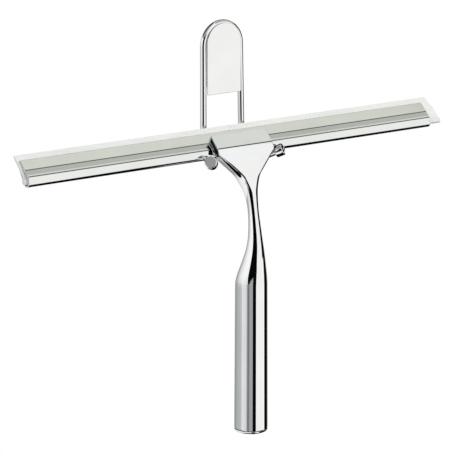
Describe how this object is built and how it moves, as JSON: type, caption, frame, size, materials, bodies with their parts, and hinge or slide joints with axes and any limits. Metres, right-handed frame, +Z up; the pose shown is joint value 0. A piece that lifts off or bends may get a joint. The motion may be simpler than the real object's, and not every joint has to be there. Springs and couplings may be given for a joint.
{
  "type": "window squeegee with wall hook",
  "caption": "Chrome window squeegee with a long blade channel, silicone blade and round handle, hung on an arched wire wall hook with an adhesive plate.",
  "frame": {"origin": "middle of the adhesive pad's back face, on the wall", "axes": "+Y into the wall, -Y to the front, +Z up, +X along the blade to the viewer's right"},
  "size_m": [0.3007, 0.0432, 0.2468],
  "materials": {
    "chrome": "polished",
    "channel_metal": "polished",
    "screw_steel": "satin",
    "silicone": "translucent satin",
    "plastic": "matt",
    "foam": "matt foam"
  },
  "bodies": {
    "wall_hook": {"adhesive_pad": "foam", "mounting_block": "plastic", "face_plate": "chrome", "hairpin_wire": "chrome", "end_knob_left": "chrome", "end_knob_right": "chrome"},
    "squeegee": {"handle_body": "chrome", "blade_channel": "channel_metal", "set_screw_left": "screw_steel", "set_screw_right": "screw_steel", "handle_end_cap": "chrome"},
    "blade": {"silicone_blade": "silicone"}
  },
  "joints": [
    {"name": "lift_off", "type": "slide", "parent": "wall_hook", "child": "squeegee", "axis": [0, -0.5, 0.866], "range_m": [0, 0.12]},
    {"name": "blade_slide", "type": "slide", "parent": "squeegee", "child": "blade", "axis": [1, 0, 0], "range_m": [0, 0.295]}
  ]
}
